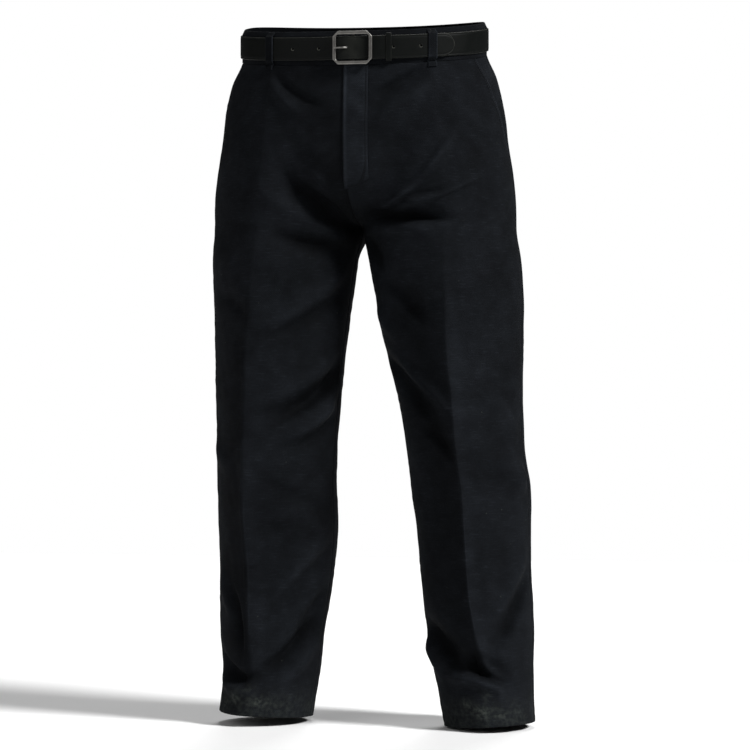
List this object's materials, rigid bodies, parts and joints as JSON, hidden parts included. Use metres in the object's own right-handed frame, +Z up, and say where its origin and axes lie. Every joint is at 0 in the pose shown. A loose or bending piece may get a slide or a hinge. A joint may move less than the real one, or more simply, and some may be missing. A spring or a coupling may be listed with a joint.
{
  "type": "dress trousers with belt",
  "caption": "Straight-legged dress trousers with pressed creases, slant pockets, a fly and a buckled leather belt, held in the hollow shape they have when worn.",
  "frame": {"origin": "middle of the waist, on the belt's centre line", "axes": "+Z up out of the waist, front towards -Y, wearer's left towards +X"},
  "size_m": [0.4866, 0.2832, 1.0587],
  "materials": {
    "cloth": "dark charcoal twill, soft and slightly worn",
    "waistband_cloth": "the same charcoal twill, folded double",
    "belt_leather": "black grained leather, satin",
    "buckle_metal": "worn grey metal",
    "zip": "dark woven tape"
  },
  "bodies": {
    "root": {"front_left": "cloth", "front_right": "cloth", "back_left": "cloth", "back_right": "cloth", "pocket_facing_left": "cloth", "pocket_facing_right": "cloth", "fly_flap": "cloth", "waistband_left": "waistband_cloth", "waistband_right": "waistband_cloth", "belt_loop_front_left": "waistband_cloth", "belt_loop_side_left": "waistband_cloth", "belt_loop_back": "waistband_cloth", "belt_loop_side_right": "waistband_cloth", "belt_loop_front_right": "waistband_cloth", "fly_zip": "zip", "belt_strap": "belt_leather", "belt_keeper": "belt_leather", "buckle_frame": "buckle_metal", "buckle_prong": "buckle_metal"}
  },
  "joints": []
}
